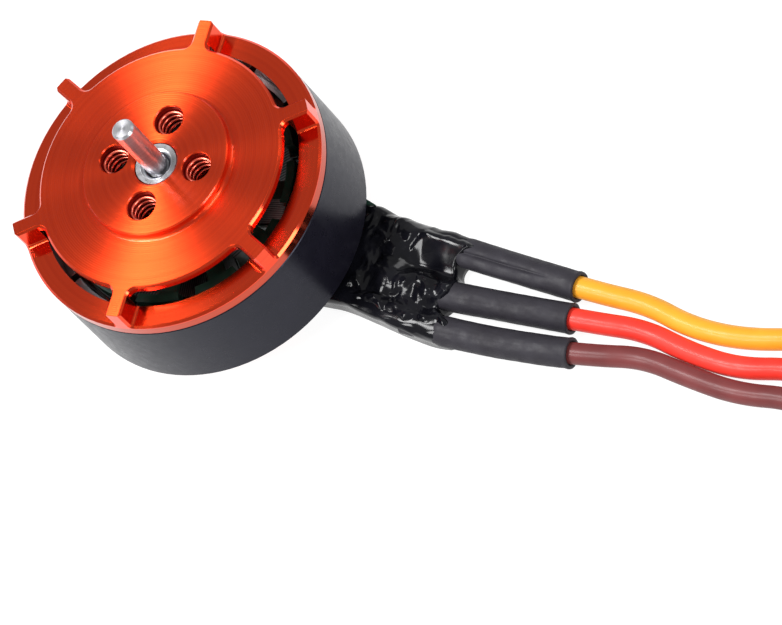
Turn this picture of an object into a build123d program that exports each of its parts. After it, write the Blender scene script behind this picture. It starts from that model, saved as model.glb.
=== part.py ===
from build123d import *
import os
from math import pi, radians, tan

os.makedirs("parts", exist_ok=True)

# A small brushless outrunner motor. The centre of the mounting face is the origin, the shaft
# points along +Z, and the three phase leads leave along +X. The motor is drawn at four thirds of
# its real size, with a can 28 across, and save() brings each part to real millimetres, 21 across.
real_size = 0.75

# ---- driving dimensions ----
can_radius = 14.0
can_wall = 1.2
can_bottom = 3.0
can_height = 8.7
rim_height = 1.15
spoke_drop = 2.25
boss_height = 0.85
shaft_tip = 22.35
rotor_turn = 7.3

shaft_radius = 1.0
bush_radius = 2.0
disc_radius = 11.34
boss_radius = 6.75
cavity_radius = 12.0
plate_edge_thickness = 0.7
hub_underside = 12.7
hub_radius = 6.3

spoke_count = 6
spoke_width = 1.5
spoke_bar_length = 14.0
window_corner = 0.8
spoke_foot_fillet = 0.3
boss_foot_fillet = 0.35
edge_break = 0.2
prop_hole_count = 4
prop_hole_circle = 8.1
prop_hole_radius = 1.0 / real_size
prop_hole_mouth = 1.42

tooth_count = 12
magnet_count = 14
stator_radius = 11.0
stack_bottom = 4.9
stack_height = 4.5
tooth_width = 1.5
insulator_thickness = 0.4
winding_bottom = 3.0
winding_top = 11.3

tube_radius = 3.5
tube_top = 12.2
flange_radius = 12.0
flange_thickness = 2.4
base_hole_circle = 16.0
base_hole_radius = 1.0 / real_size

bearing_radius = 2.5
bearing_width = 2.5
lower_bearing_face = 1.0
ball_radius = 0.4
ball_circle_radius = 1.75
ball_count = 7

lead_radius = 0.95
sleeve_radius = 1.3
sleeve_height = 1.32

# ---- heights worked out from them ----
can_top = can_bottom + can_height
rim_top = can_top + rim_height
disc_top = rim_top + spoke_drop
boss_top = disc_top + boss_height
stack_top = stack_bottom + stack_height
upper_bearing_face = tube_top - bearing_width
can_bore = can_radius - can_wall
spigot_bottom = can_top - 0.9


def save(builder, name):
    """Bring a finished sub-part to its real size, label it and write it to its own file."""
    finished = scale(builder.part, by=real_size)
    finished.label = name
    export_step(finished, f"parts/{name}.step")


# ================= rotor =================

# The end bell is a turned cup with a thin top plate. Six windows are milled down through its
# corner, so that the spokes are left between the central disc and the rim.
bell_profile = [
    (bush_radius, hub_underside),
    (hub_radius, hub_underside),
    (hub_radius + 2.4, disc_top - plate_edge_thickness),
    (cavity_radius, disc_top - plate_edge_thickness),
    (cavity_radius, spigot_bottom),
    (can_bore, spigot_bottom),
    (can_bore, can_top),
    (can_radius, can_top),
    (can_radius, disc_top),
    (boss_radius, disc_top),
    (boss_radius, boss_top),
    (bush_radius, boss_top),
]
with BuildPart() as end_bell:
    with BuildSketch(Plane.XZ):
        with BuildLine():
            Polyline(*bell_profile, close=True)
        make_face()
    revolve(axis=Axis.Z)
    boss_foot = end_bell.edges().filter_by(GeomType.CIRCLE).filter_by(
        lambda e: abs(e.radius - boss_radius) < 0.01 and abs(e.center().Z - disc_top) < 0.01
    )
    fillet(boss_foot, boss_foot_fillet)
    with BuildSketch(Plane.XY.offset(rim_top)) as windows:
        Circle(can_radius + 1)
        Circle(disc_radius, mode=Mode.SUBTRACT)
        with PolarLocations(can_radius, spoke_count, start_angle=rotor_turn + 30):
            Rectangle(spoke_bar_length, spoke_width, mode=Mode.SUBTRACT)
        fillet(
            windows.vertices().filter_by(lambda v: Vector(*v).length < can_radius - 1),
            window_corner,
        )
    extrude(amount=spoke_drop + 1, mode=Mode.SUBTRACT)
    spoke_feet = end_bell.edges().filter_by(GeomType.LINE).filter_by(
        lambda e: abs(e.center().Z - rim_top) < 0.01
    )
    fillet(spoke_feet, spoke_foot_fillet)
    rim_edges = end_bell.edges().filter_by(GeomType.CIRCLE).filter_by(
        lambda e: abs(e.radius - can_radius) < 0.01 and abs(e.center().Z - rim_top) < 0.35
    )
    chamfer(rim_edges.filter_by(lambda e: e.length > 5), edge_break)
    disc_edges = end_bell.edges().filter_by(GeomType.CIRCLE).filter_by(
        lambda e: abs(e.radius - disc_radius) < 0.01 and abs(e.center().Z - disc_top) < 0.01
    )
    chamfer(disc_edges, edge_break)
    boss_edge = end_bell.edges().filter_by(GeomType.CIRCLE).filter_by(
        lambda e: abs(e.radius - boss_radius) < 0.01 and abs(e.center().Z - boss_top) < 0.01
    )
    chamfer(boss_edge, edge_break / 2)
    bore_edge = end_bell.edges().filter_by(GeomType.CIRCLE).filter_by(
        lambda e: abs(e.radius - bush_radius) < 0.01 and abs(e.center().Z - boss_top) < 0.01
    )
    chamfer(bore_edge, edge_break)
    with Locations(Plane.XY.offset(boss_top)):
        with PolarLocations(prop_hole_circle / 2, prop_hole_count, start_angle=rotor_turn):
            CounterSinkHole(prop_hole_radius, prop_hole_mouth, counter_sink_angle=90)
save(end_bell, "end_bell")

# The can is a steel ring that closes the magnets' flux. Its top end sits on the bell's shoulder.
with BuildPart() as rotor_can:
    with BuildSketch(Plane.XY.offset(can_bottom)):
        Circle(can_radius)
        Circle(can_bore, mode=Mode.SUBTRACT)
    extrude(amount=can_height)
    outer_edges = rotor_can.edges().filter_by(GeomType.CIRCLE).filter_by(
        lambda e: abs(e.radius - can_radius) < 0.01
    )
    chamfer(outer_edges, 0.18)
    bottom_bore_edge = rotor_can.edges().filter_by(GeomType.CIRCLE).filter_by(
        lambda e: abs(e.radius - can_bore) < 0.01
    ).sort_by(Axis.Z)[0]
    chamfer(bottom_bore_edge, 0.3)
save(rotor_can, "rotor_can")

# Fourteen arc magnets line the can with small gaps between them.
magnet_thickness = 1.4
magnet_glue = 0.05
magnet_arc = 22.4
magnet_bottom = can_bottom + 1.1
magnet_height = 6.4
with BuildPart() as magnet:
    with BuildSketch(Plane.XZ):
        with Locations((can_bore - magnet_glue - magnet_thickness / 2, magnet_bottom + magnet_height / 2)):
            Rectangle(magnet_thickness, magnet_height)
    revolve(axis=Axis.Z, revolution_arc=magnet_arc)
    chamfer(magnet.edges().filter_by(GeomType.CIRCLE), 0.12)
with BuildPart() as magnets:
    with PolarLocations(0, magnet_count, start_angle=rotor_turn):
        add(magnet.part)
save(magnets, "magnets")

# The ground shaft runs from the clip groove under the base to the propeller end. A relief under the
# bush's dish ends the ground seat that the propeller's hub slides on.
shaft_bottom = 0.2
relief_bottom = 14.9
relief_top = 15.7
relief_radius = 0.7
clip_bottom = 0.4
clip_thickness = 0.4
clip_groove_radius = 0.75
with BuildPart() as shaft:
    with BuildSketch(Plane.XY.offset(shaft_bottom)):
        Circle(shaft_radius)
    extrude(amount=shaft_tip - shaft_bottom)
    chamfer(shaft.edges().filter_by(GeomType.CIRCLE).sort_by(Axis.Z)[-1], 0.18)
    chamfer(shaft.edges().filter_by(GeomType.CIRCLE).sort_by(Axis.Z)[0], 0.1)
    with BuildSketch(Plane.XY.offset(clip_bottom)):
        Circle(shaft_radius + 0.2)
        Circle(clip_groove_radius, mode=Mode.SUBTRACT)
    extrude(amount=clip_thickness, mode=Mode.SUBTRACT)
    with BuildSketch(Plane.XY.offset(relief_bottom)):
        Circle(shaft_radius + 0.2)
        Circle(relief_radius, mode=Mode.SUBTRACT)
    extrude(amount=relief_top - relief_bottom, mode=Mode.SUBTRACT)
save(shaft, "shaft")

# A steel bush joins shaft and bell. Its top face is dished round the shaft.
bush_bottom = tube_top + 0.2
bush_top = boss_top - 0.25
dish_radius = 1.45
dish_depth = 0.3
with BuildPart() as shaft_bush:
    with BuildSketch(Plane.XY.offset(bush_bottom)):
        Circle(bush_radius)
        Circle(shaft_radius, mode=Mode.SUBTRACT)
    extrude(amount=bush_top - bush_bottom)
    chamfer(
        shaft_bush.edges().filter_by(GeomType.CIRCLE).filter_by(lambda e: abs(e.radius - bush_radius) < 0.01),
        0.1,
    )
    with BuildSketch(Plane.XY.offset(bush_top)):
        Circle(dish_radius)
    extrude(amount=-dish_depth, mode=Mode.SUBTRACT)
    with BuildSketch(Plane.XY.offset(bush_top - dish_depth)):
        Circle(shaft_radius + 0.2)
    extrude(amount=-0.2, taper=45, mode=Mode.SUBTRACT)
save(shaft_bush, "shaft_bush")

# Shims carry the rotor on the inner races, and a split clip holds the shaft from below.
for shim_name, shim_bottom in (("upper_shim", tube_top), ("lower_shim", lower_bearing_face - 0.2)):
    with BuildPart() as shim:
        with BuildSketch(Plane.XY.offset(shim_bottom)):
            Circle(1.4)
            Circle(shaft_radius, mode=Mode.SUBTRACT)
        extrude(amount=0.2)
    save(shim, shim_name)

with BuildPart() as retaining_clip:
    with BuildSketch(Plane.XY.offset(clip_bottom)) as clip_outline:
        Circle(1.9)
        Circle(clip_groove_radius, mode=Mode.SUBTRACT)
        with Locations((1.5, 0)):
            Rectangle(2.4, 1.1, mode=Mode.SUBTRACT)
        with PolarLocations(1.15, 2, start_angle=90, angular_range=360):
            Circle(0.3, mode=Mode.SUBTRACT)
    extrude(amount=clip_thickness)
save(retaining_clip, "retaining_clip")

# ================= ball bearings, one at each end of the bearing tube =================

inner_race_radius = 1.42
outer_race_bore = 2.08
groove_radius = ball_radius + 0.02
shield_radius = 2.2
shield_thickness = 0.15
shield_inset = 0.1
for place, face in (("lower", lower_bearing_face), ("upper", upper_bearing_face)):
    middle = face + bearing_width / 2

    with BuildPart() as inner_race:
        with BuildSketch(Plane.XZ):
            with Locations(((shaft_radius + inner_race_radius) / 2, middle)):
                Rectangle(inner_race_radius - shaft_radius, bearing_width)
            with Locations((ball_circle_radius, middle)):
                Circle(groove_radius, mode=Mode.SUBTRACT)
        revolve(axis=Axis.Z)
    save(inner_race, f"{place}_bearing_inner_race")

    with BuildPart() as outer_race:
        with BuildSketch(Plane.XZ):
            with Locations(((outer_race_bore + bearing_radius) / 2, middle)):
                Rectangle(bearing_radius - outer_race_bore, bearing_width)
            with Locations((ball_circle_radius, middle)):
                Circle(groove_radius, mode=Mode.SUBTRACT)
            with Locations((outer_race_bore, face), (outer_race_bore, face + bearing_width)):
                Rectangle(2 * (shield_radius - outer_race_bore), 2 * (shield_inset + shield_thickness),
                          mode=Mode.SUBTRACT)
        revolve(axis=Axis.Z)
    save(outer_race, f"{place}_bearing_outer_race")

    with BuildPart() as shields:
        for shield_bottom in (face + shield_inset, face + bearing_width - shield_inset - shield_thickness):
            with BuildSketch(Plane.XY.offset(shield_bottom)):
                Circle(shield_radius)
                Circle(inner_race_radius + 0.08, mode=Mode.SUBTRACT)
            extrude(amount=shield_thickness)
    save(shields, f"{place}_bearing_shields")

    with BuildPart() as balls:
        with Locations(Plane.XY.offset(middle)):
            with PolarLocations(ball_circle_radius, ball_count):
                Sphere(ball_radius)
    save(balls, f"{place}_bearing_balls")

    with BuildPart() as cage:
        with BuildSketch(Plane.XY.offset(middle - 0.3)):
            Circle(ball_circle_radius + 0.13)
            Circle(ball_circle_radius - 0.13, mode=Mode.SUBTRACT)
        extrude(amount=0.75)
        with Locations(Plane.XY.offset(middle)):
            with PolarLocations(ball_circle_radius, ball_count):
                Sphere(ball_radius + 0.03, mode=Mode.SUBTRACT)
    save(cage, f"{place}_bearing_cage")

# ================= stator =================

# The mounting base and its bearing tube are one turned piece, with three screw arms and an open
# notch on the +X side where the windings' tails pass out under the can.
notch_half_width = 6.7
vent_inner_radius = 5.2
vent_outer_radius = 10.3
arm_width = 6.4
collar_radius = 3.9
shaft_clearance_radius = 1.9
with BuildPart() as mount_base:
    with BuildSketch(Plane.XY):
        Circle(flange_radius)
    extrude(amount=flange_thickness)
    chamfer(mount_base.edges().filter_by(GeomType.CIRCLE).sort_by(Axis.Z)[0], 0.4)
    chamfer(mount_base.edges().filter_by(GeomType.CIRCLE).sort_by(Axis.Z)[-1], 0.2)
    with BuildSketch(Plane.XY) as vents:
        Circle(vent_outer_radius)
        Circle(vent_inner_radius, mode=Mode.SUBTRACT)
        with PolarLocations(base_hole_circle / 2, 3, start_angle=60):
            Rectangle(8, arm_width, mode=Mode.SUBTRACT)
        fillet(vents.vertices(), 0.8)
    extrude(amount=flange_thickness, mode=Mode.SUBTRACT)
    with BuildSketch(Plane.XY):
        with Locations((flange_radius, 0)):
            Rectangle(6, 2 * notch_half_width)
    extrude(amount=flange_thickness, mode=Mode.SUBTRACT)
    with BuildSketch(Plane.XY):
        Circle(collar_radius)
    extrude(amount=stack_bottom)
    with BuildSketch(Plane.XY):
        Circle(tube_radius)
    extrude(amount=tube_top)
    chamfer(mount_base.edges().filter_by(GeomType.CIRCLE).sort_by(Axis.Z)[-1], 0.2)
    with BuildSketch(Plane.XY):
        Circle(shaft_clearance_radius)
    extrude(amount=tube_top, mode=Mode.SUBTRACT)
    with BuildSketch(Plane.XY):
        Circle(bearing_radius)
    extrude(amount=lower_bearing_face + bearing_width, mode=Mode.SUBTRACT)
    with BuildSketch(Plane.XY.offset(upper_bearing_face)):
        Circle(bearing_radius)
    extrude(amount=bearing_width, mode=Mode.SUBTRACT)
    with BuildSketch(Plane.XY):
        with PolarLocations(base_hole_circle / 2, 3, start_angle=60):
            Circle(base_hole_radius)
    extrude(amount=flange_thickness, mode=Mode.SUBTRACT)
save(mount_base, "mount_base")

# Twelve-tooth lamination stack, pressed on the tube.
head_inner_radius = 9.9
slot_opening = 0.8
hub_outer_radius = 5.0
first_tooth = 15
with BuildPart() as stator_core:
    with BuildSketch(Plane.XY.offset(stack_bottom)):
        Circle(stator_radius)
        Circle(head_inner_radius, mode=Mode.SUBTRACT)
        with PolarLocations(stator_radius, tooth_count):
            Rectangle(4, slot_opening, mode=Mode.SUBTRACT)
        Circle(hub_outer_radius)
        with PolarLocations((hub_outer_radius + head_inner_radius) / 2, tooth_count, start_angle=first_tooth):
            Rectangle(head_inner_radius - hub_outer_radius + 0.4, tooth_width)
        Circle(tube_radius, mode=Mode.SUBTRACT)
    extrude(amount=stack_height)
save(stator_core, "stator_core")

# Moulded end insulators cover the teeth and stand up as lips at both ends of each coil.
lip_inner_radius = 10.15
insulator_radius = stator_radius - 0.1
insulator_tooth_width = tooth_width + 0.2
for place, face, end, outward in (
    ("lower", stack_bottom, winding_bottom, -1),
    ("upper", stack_top, winding_top, 1),
):
    with BuildPart() as insulator:
        with BuildSketch(Plane.XY.offset(face)):
            Circle(insulator_radius)
            Circle(head_inner_radius, mode=Mode.SUBTRACT)
            with PolarLocations(stator_radius, tooth_count):
                Rectangle(4, slot_opening + 0.1, mode=Mode.SUBTRACT)
            Circle(hub_outer_radius)
            with PolarLocations((hub_outer_radius + head_inner_radius) / 2, tooth_count, start_angle=first_tooth):
                Rectangle(head_inner_radius - hub_outer_radius + 0.4, insulator_tooth_width)
            Circle(collar_radius + 0.1, mode=Mode.SUBTRACT)
        extrude(amount=outward * insulator_thickness)
        with BuildSketch(Plane.XY.offset(face)):
            Circle(insulator_radius)
            Circle(lip_inner_radius, mode=Mode.SUBTRACT)
            with PolarLocations(stator_radius, tooth_count):
                Rectangle(4, 1.6, mode=Mode.SUBTRACT)
            Circle(hub_outer_radius)
            Circle(hub_outer_radius - 0.5, mode=Mode.SUBTRACT)
        extrude(amount=abs(end - face) * outward)
    save(insulator, f"{place}_insulator")

# One wedge-shaped coil fills half a slot on each side of its tooth. Each phase has four of them.
coil_inner_radius = 5.45
coil_outer_radius = 9.55
coil_inner_half_width = 1.28
coil_outer_half_width = 2.1
with BuildPart() as coil:
    with BuildSketch(Plane.XY.offset(winding_bottom)):
        with BuildLine():
            Polyline(
                (coil_inner_radius, -coil_inner_half_width),
                (coil_outer_radius, -coil_outer_half_width),
                (coil_outer_radius, coil_outer_half_width),
                (coil_inner_radius, coil_inner_half_width),
                close=True,
            )
        make_face()
    extrude(amount=winding_top - winding_bottom)
    fillet(coil.edges().filter_by(Axis.X, reverse=True).filter_by(Axis.Z, reverse=True).filter_by(
        lambda e: abs(e.center().Y) > 1), 0.5)
    with BuildSketch(Plane.XY.offset(stack_bottom - insulator_thickness)):
        with Locations((coil_outer_radius, 0)):
            Rectangle(12, insulator_tooth_width)
    extrude(amount=stack_height + 2 * insulator_thickness, mode=Mode.SUBTRACT)
for phase, first_teeth in (("a", (0, 1)), ("b", (2, 3)), ("c", (4, 5))):
    with BuildPart() as phase_coils:
        for tooth in first_teeth:
            with PolarLocations(0, 2, start_angle=first_tooth + 30 * tooth):
                add(coil.part)
    save(phase_coils, f"phase_{phase}_coils")

# ================= leads =================


def corner_radii(points):
    """Arc radius at each corner: 0.45 of the shorter run over the tangent of half the turn."""
    radii = []
    for before, here, after in zip(points, points[1:], points[2:]):
        run_in = Vector(*here) - Vector(*before)
        run_out = Vector(*after) - Vector(*here)
        half_turn = radians(run_in.get_angle(run_out)) / 2
        radii.append(0.45 * min(run_in.length, run_out.length) / tan(half_turn))
    return radii


def direction(start, end):
    return (Vector(*end) - Vector(*start)).normalized()


# Control points of each phase's soft parts: the heat-shrink sleeve, then the lead that lies on the
# floor from inside the sleeve to its bullet connector.
sleeve_routes = {
    "yellow": [(19.2, 3.98, sleeve_height), (27.0, 3.34, sleeve_height), (34.6, 2.98, sleeve_height)],
    "red": [(19.6, -0.65, sleeve_height), (27.4, -0.28, sleeve_height), (35.2, 0.12, sleeve_height)],
    "brown": [(20.0, -3.60, sleeve_height), (28.6, -3.80, sleeve_height), (36.4, -2.84, sleeve_height)],
}
lead_routes = {
    "yellow": [
        (32.6, 3.075, sleeve_height), (36.6, 2.885, sleeve_height), (41.2, 3.05, 0.96), (45.6, 1.95, 0.96),
        (50.4, 1.95, 0.96), (55.4, 3.05, 0.96), (61.6, 4.9, 0.96), (69.0, 5.7, 0.96),
        (77.4, 6.1, 1.2), (85.4, 7.3, 1.9), (92.8, 8.2, 1.9),
    ],
    "red": [
        (33.2, 0.017, sleeve_height), (37.2, 0.223, sleeve_height), (41.8, 0.76, 0.96), (46.4, -0.25, 0.96),
        (51.3, -0.62, 0.96), (56.2, 0.55, 0.96), (62.4, 0.95, 0.96), (69.8, 0.10, 0.96),
        (78.0, -0.15, 1.2), (85.8, 0.35, 1.9), (93.0, 0.35, 1.9),
    ],
    "brown": [
        (34.4, -3.086, sleeve_height), (38.4, -2.594, sleeve_height), (42.7, -1.57, 0.96), (47.4, -2.30, 0.96),
        (52.3, -2.74, 0.96), (57.2, -1.96, 0.96), (63.4, -2.9, 0.96), (70.6, -5.1, 0.96),
        (78.4, -6.4, 1.2), (86.2, -6.9, 1.9), (93.4, -7.8, 1.9),
    ],
}

# Lead and sleeve ends, and the tube that a wire or sleeve makes along its route.
splice_length = 3.2
tail_radius = 0.45
cup_length = 4.6
cup_radius = 1.3
boot_radius = 1.9
boot_grip = 3.4
pin_radius = 1.0


def wire_tube(points, radius, bore=0.0):
    """A round tube along straight runs that are joined by tangent arcs."""
    with BuildPart() as tube:
        with BuildLine() as route:
            FilletPolyline(*points, radius=corner_radii(points))
        with BuildSketch(Plane(origin=points[0], z_dir=direction(points[0], points[1]))):
            Circle(radius)
            if bore:
                Circle(bore, mode=Mode.SUBTRACT)
        sweep(path=route.wires()[0])
    return tube


def turned_piece(start, end, profile):
    """A piece turned about the line from start to end: profile is (distance along, radius) pairs."""
    axis = Plane(origin=start, z_dir=direction(start, end))
    with BuildPart(axis) as piece:
        with BuildSketch(Plane(origin=start, x_dir=axis.x_dir, z_dir=-axis.y_dir)):
            with BuildLine():
                Polyline(*[(radius, along) for along, radius in profile], close=True)
            make_face()
        revolve(axis=Axis(start, axis.z_dir))
    return piece


sleeves = {}
tails = {}
for colour, points in sleeve_routes.items():
    heading = direction(points[0], points[1])
    sleeves[colour] = wire_tube(points, sleeve_radius, bore=lead_radius)
    save(sleeves[colour], f"{colour}_sleeve")

    # The solder splice fills the start of the sleeve, and the winding's twisted tail ends in it.
    splice_start = Vector(*points[0]) + heading * 0.8
    splice_end = splice_start + heading * splice_length
    splice = turned_piece(
        splice_start, splice_end,
        [(0, 0), (0, 0.7), (0.5, lead_radius), (splice_length - 0.4, lead_radius), (splice_length, 0.6), (splice_length, 0)],
    )
    save(splice, f"{colour}_splice")

    tail_bend = Vector(*points[0]) - heading * 4.0
    tail_start = Vector(8.4, tail_bend.Y * 0.8, 2.35)
    tails[colour] = wire_tube([tuple(tail_start), tuple(tail_bend), tuple(splice_start)], tail_radius)
    save(tails[colour], f"{colour}_winding_tail")

for colour, points in lead_routes.items():
    lead = wire_tube(points, lead_radius)
    save(lead, f"{colour}_lead")
    radii = corner_radii(points)
    length = sum(edge.length for edge in FilletPolyline(*points, radius=radii).edges())
    section = pi * lead_radius**2
    print(f"{colour} lead {length * real_size:.2f} mm, volume ratio {lead.part.volume / (section * length):.4f}, radii",
          [round(r, 1) for r in radii])

    # A male bullet connector is soldered on the lead's end, under its own shrink boot.
    heading = direction(points[-2], points[-1])
    boot_start = Vector(*points[-1]) - heading * boot_grip
    boot_length = boot_grip + cup_length - 0.3
    boot = turned_piece(
        boot_start, points[-1],
        [(0, lead_radius), (0, 1.35), (1.6, boot_radius), (boot_length - 0.3, boot_radius),
         (boot_length, boot_radius - 0.2), (boot_length, cup_radius), (boot_grip, cup_radius), (boot_grip, lead_radius)],
    )
    save(boot, f"{colour}_bullet_boot")
    bullet = turned_piece(
        points[-1], Vector(*points[-1]) + heading,
        [(0, 0), (0, cup_radius), (cup_length, cup_radius), (cup_length, pin_radius - 0.2),
         (cup_length + 0.8, pin_radius - 0.2), (cup_length + 2.4, pin_radius), (cup_length + 4.6, pin_radius),
         (cup_length + 6.2, pin_radius - 0.25), (cup_length + 6.8, pin_radius - 0.45), (cup_length + 6.8, 0)],
    )
    save(bullet, f"{colour}_bullet")

# A lump of black glue wraps the tails and the sleeves' starts, from the base's notch outwards. It
# stays below the can where it passes under it.
wrap_floor = 0.15
wrap_top = 2.65
wrap_outline = [
    (9.9, 4.6), (11.7, 6.2), (15.4, 5.5), (19.0, 5.35), (23.4, 4.6), (23.6, 1.4),
    (24.2, -2.2), (25.4, -4.7), (22.4, -5.1), (16.6, -4.1), (13.4, -3.5), (10.4, -3.3),
]
with BuildPart() as glue_wrap:
    with BuildSketch(Plane.XY.offset(wrap_floor)) as wrap_plan:
        with BuildLine():
            Polyline(*wrap_outline, close=True)
        make_face()
        fillet(wrap_plan.vertices(), 0.6)
    extrude(amount=wrap_top - wrap_floor)
    fillet(glue_wrap.faces().sort_by(Axis.Z)[-1].edges(), 0.5)
    for colour, points in sleeve_routes.items():
        with BuildSketch(Plane(origin=points[0], z_dir=direction(points[0], points[1]))):
            Circle(sleeve_radius)
        extrude(amount=7, mode=Mode.SUBTRACT)
        add(tails[colour].part, mode=Mode.SUBTRACT)
save(glue_wrap, "glue_wrap")
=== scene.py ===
"""The looks of a small brushless outrunner motor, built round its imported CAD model."""
import math

import bpy
import numpy as np
from mathutils import Matrix, Quaternion, Vector, noise


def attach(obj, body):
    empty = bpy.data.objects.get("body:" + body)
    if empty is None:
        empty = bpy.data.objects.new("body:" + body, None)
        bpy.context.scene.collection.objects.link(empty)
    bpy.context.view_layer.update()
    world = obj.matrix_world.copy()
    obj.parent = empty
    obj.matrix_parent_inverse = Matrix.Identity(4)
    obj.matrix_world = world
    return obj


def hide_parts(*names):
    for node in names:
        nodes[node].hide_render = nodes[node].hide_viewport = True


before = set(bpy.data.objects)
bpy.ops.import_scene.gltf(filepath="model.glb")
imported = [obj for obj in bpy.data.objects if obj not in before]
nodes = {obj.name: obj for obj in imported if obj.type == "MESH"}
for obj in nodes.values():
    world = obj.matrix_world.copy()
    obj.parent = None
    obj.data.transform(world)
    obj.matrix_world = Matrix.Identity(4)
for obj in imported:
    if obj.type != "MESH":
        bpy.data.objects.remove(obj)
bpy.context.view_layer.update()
REAL_SIZE = 0.75  # the motor's real size, as a share of the size that it is drawn at
UNIT = REAL_SIZE * 0.001  # one drawn millimetre, in metres


def clamp(value):
    return max(0.0, min(1.0, value))


# ================= camera =================

camera_place = Vector((278.26, -140.79, 417.15)) * UNIT
camera_aim = Vector((17.62, -2.70, 0.0)) * UNIT
camera_roll = math.radians(43.27)
camera_data = bpy.data.cameras.new("camera")
camera_data.lens = 276.2
camera_data.sensor_width = 36.0
camera_data.clip_start = 0.02
camera_data.clip_end = 20.0
camera = bpy.data.objects.new("camera", camera_data)
bpy.context.scene.collection.objects.link(camera)
camera.location = camera_place
camera.rotation_mode = "QUATERNION"
camera.rotation_quaternion = (camera_aim - camera_place).to_track_quat("-Z", "Y") @ Quaternion(
    (0, 0, 1), -camera_roll
)
bpy.context.scene.camera = camera

# ================= materials =================


class Shader:
    """A procedural material on one Principled shader. Its noise and bumps are sized for the drawn motor."""

    def __init__(self, name, colour, roughness, metallic=0.0, **sockets):
        self.material = bpy.data.materials.new(name)
        self.material.use_nodes = True
        self.tree = self.material.node_tree
        self.bsdf = self.tree.nodes["Principled BSDF"]
        self.bsdf.inputs["Base Color"].default_value = (*colour, 1.0)
        self.bsdf.inputs["Roughness"].default_value = roughness
        self.bsdf.inputs["Metallic"].default_value = metallic
        for socket, value in sockets.items():
            self.bsdf.inputs[socket.replace("_", " ")].default_value = value
        self.place = self.node("TexCoord").outputs["Object"]
        self.normal = None

    def node(self, kind, **settings):
        made = self.tree.nodes.new("ShaderNode" + kind)
        for key, value in settings.items():
            if key in made.inputs:
                made.inputs[key].default_value = value
            else:
                setattr(made, key, value)
        return made

    def link(self, source, target):
        self.tree.links.new(source, target)

    def math(self, operation, first, second=None):
        made = self.node("Math", operation=operation)
        for slot, value in enumerate(x for x in (first, second) if x is not None):
            if isinstance(value, (int, float)):
                made.inputs[slot].default_value = value
            else:
                self.link(value, made.inputs[slot])
        return made.outputs[0]

    def split(self):
        made = self.node("SeparateXYZ")
        self.link(self.place, made.inputs[0])
        return made.outputs

    def noise(self, scale, detail=3.0, distance=None):
        """Noise in space, or along one distance for turned rings and rolled layers."""
        if distance is not None:
            made = self.node("TexNoise", noise_dimensions="1D", Scale=scale / REAL_SIZE, Detail=detail)
            self.link(distance, made.inputs["W"])
        else:
            made = self.node("TexNoise", Scale=scale / REAL_SIZE, Detail=detail)
            self.link(self.place, made.inputs["Vector"])
        return made.outputs[0]

    def ramp(self, source, low, high, start=0.35, end=0.65):
        """A source's range from start to end, as a value or colour from low to high."""
        if isinstance(low, tuple):
            made = self.node("ValToRGB")
            stops = made.color_ramp.elements
            stops[0].position, stops[1].position = start, end
            stops[0].color, stops[1].color = (*low, 1.0), (*high, 1.0)
            self.link(source, made.inputs[0])
            return made.outputs[0]
        made = self.node("MapRange")
        for key, value in zip(("From Min", "From Max", "To Min", "To Max"), (start, end, low, high)):
            made.inputs[key].default_value = value
        self.link(source, made.inputs["Value"])
        return made.outputs[0]

    def vary(self, socket, source, low, high, start=0.35, end=0.65):
        self.link(self.ramp(source, low, high, start, end), self.bsdf.inputs[socket])
        return self

    def bump(self, source, height, strength=1.0):
        made = self.node("Bump", Strength=strength, Distance=height * REAL_SIZE)
        self.link(source, made.inputs["Height"])
        if self.normal is not None:
            self.link(self.normal, made.inputs["Normal"])
        self.normal = made.outputs[0]
        self.link(self.normal, self.bsdf.inputs["Normal"])
        return self

    def from_axis(self):
        """Distance from the motor's axis."""
        x, y, _ = self.split()
        squares = self.math("ADD", self.math("MULTIPLY", x, x), self.math("MULTIPLY", y, y))
        return self.math("SQRT", squares)

    def rings(self):
        """Distance outwards and down a turned surface, from the motor's axis."""
        return self.math("SUBTRACT", self.from_axis(), self.split()[2])

    def turned(self):
        """Makes the stretched highlights follow marks that run round the motor's axis."""
        tangent = self.node("Tangent", direction_type="RADIAL", axis="Z")
        self.link(tangent.outputs[0], self.bsdf.inputs["Tangent"])


turned_pitch = 0.19 * UNIT
# Painted shade: colour multipliers for below and above a given height; below it the colour is darkened and turned
# pinker, above it the faces keep their own colour.
painted_shade_tint, unshaded_tint = (0.60, 1.0, 2.0), (1.0, 1.0, 1.0)


def anodised(name, face_height, shade_height):
    """Dyed and turned aluminium: rough across its grooves on its faces and smoother on its walls, with painted shade
    that darkens its colour and turns it pinker below a given height.
    """
    made = Shader(
        name, (0.82, 0.054, 0.0105), 0.34, 1.0,
        Anisotropic=0.94, Anisotropic_Rotation=0.25, Coat_Weight=0.3, Coat_Roughness=0.12,
    )
    made.turned()
    rings = made.rings()
    height = made.split()[2]
    on_face = made.ramp(height, 0.0, 1.0, face_height - 0.06 * UNIT, face_height - 0.02 * UNIT)
    # Mask of the painted shade: 0 below the given height, 1 above it.
    above_painted_shade = made.ramp(height, 0.0, 1.0, shade_height - 0.1 * UNIT, shade_height)
    stains = made.ramp(made.noise(2500.0, 2.0, rings), (0.79, 0.050, 0.0092), (0.86, 0.060, 0.0118))
    stained_and_shaded = made.node("MixRGB", blend_type="MULTIPLY", Fac=1.0)
    made.link(stains, stained_and_shaded.inputs[1])
    made.link(made.ramp(above_painted_shade, painted_shade_tint, unshaded_tint, 0.0, 1.0), stained_and_shaded.inputs[2])
    made.link(stained_and_shaded.outputs[0], made.bsdf.inputs["Base Color"])
    made.vary("Roughness", on_face, 0.15, 0.35, 0.0, 1.0)
    made.bump(made.math("MULTIPLY", on_face, made.noise(14000.0, 2.0, rings)), 0.000002)
    grooves = made.math("SINE", made.math("MULTIPLY", rings, 2 * math.pi / turned_pitch))
    made.bump(made.math("MULTIPLY", on_face, grooves), 0.0000035)
    return made.material


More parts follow.
